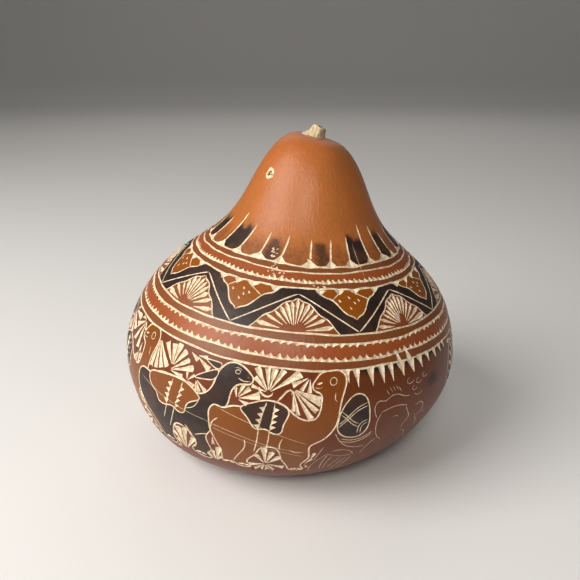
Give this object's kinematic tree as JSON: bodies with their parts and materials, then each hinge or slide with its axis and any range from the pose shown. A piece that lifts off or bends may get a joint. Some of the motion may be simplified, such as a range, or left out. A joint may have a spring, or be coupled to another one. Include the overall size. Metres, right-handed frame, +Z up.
{
  "type": "dried bottle gourd",
  "caption": "Dried bottle gourd with a broad round body, a short leaning neck and a stem stub, its skin carved and burnt with a folk pattern.",
  "frame": {"origin": "middle of the flat patch that the gourd stands on", "axes": "+Z up out of the flat patch, through the body to the neck; +X the side that the neck leans to; -Y the front, seen first"},
  "size_m": [0.1404, 0.14, 0.1349],
  "materials": {
    "gourd_skin": "varnished dried gourd skin, satin, carved and burnt",
    "stem": "dry matte stalk"
  },
  "bodies": {
    "root": {"gourd_body": "gourd_skin", "stem": "stem"}
  },
  "joints": []
}
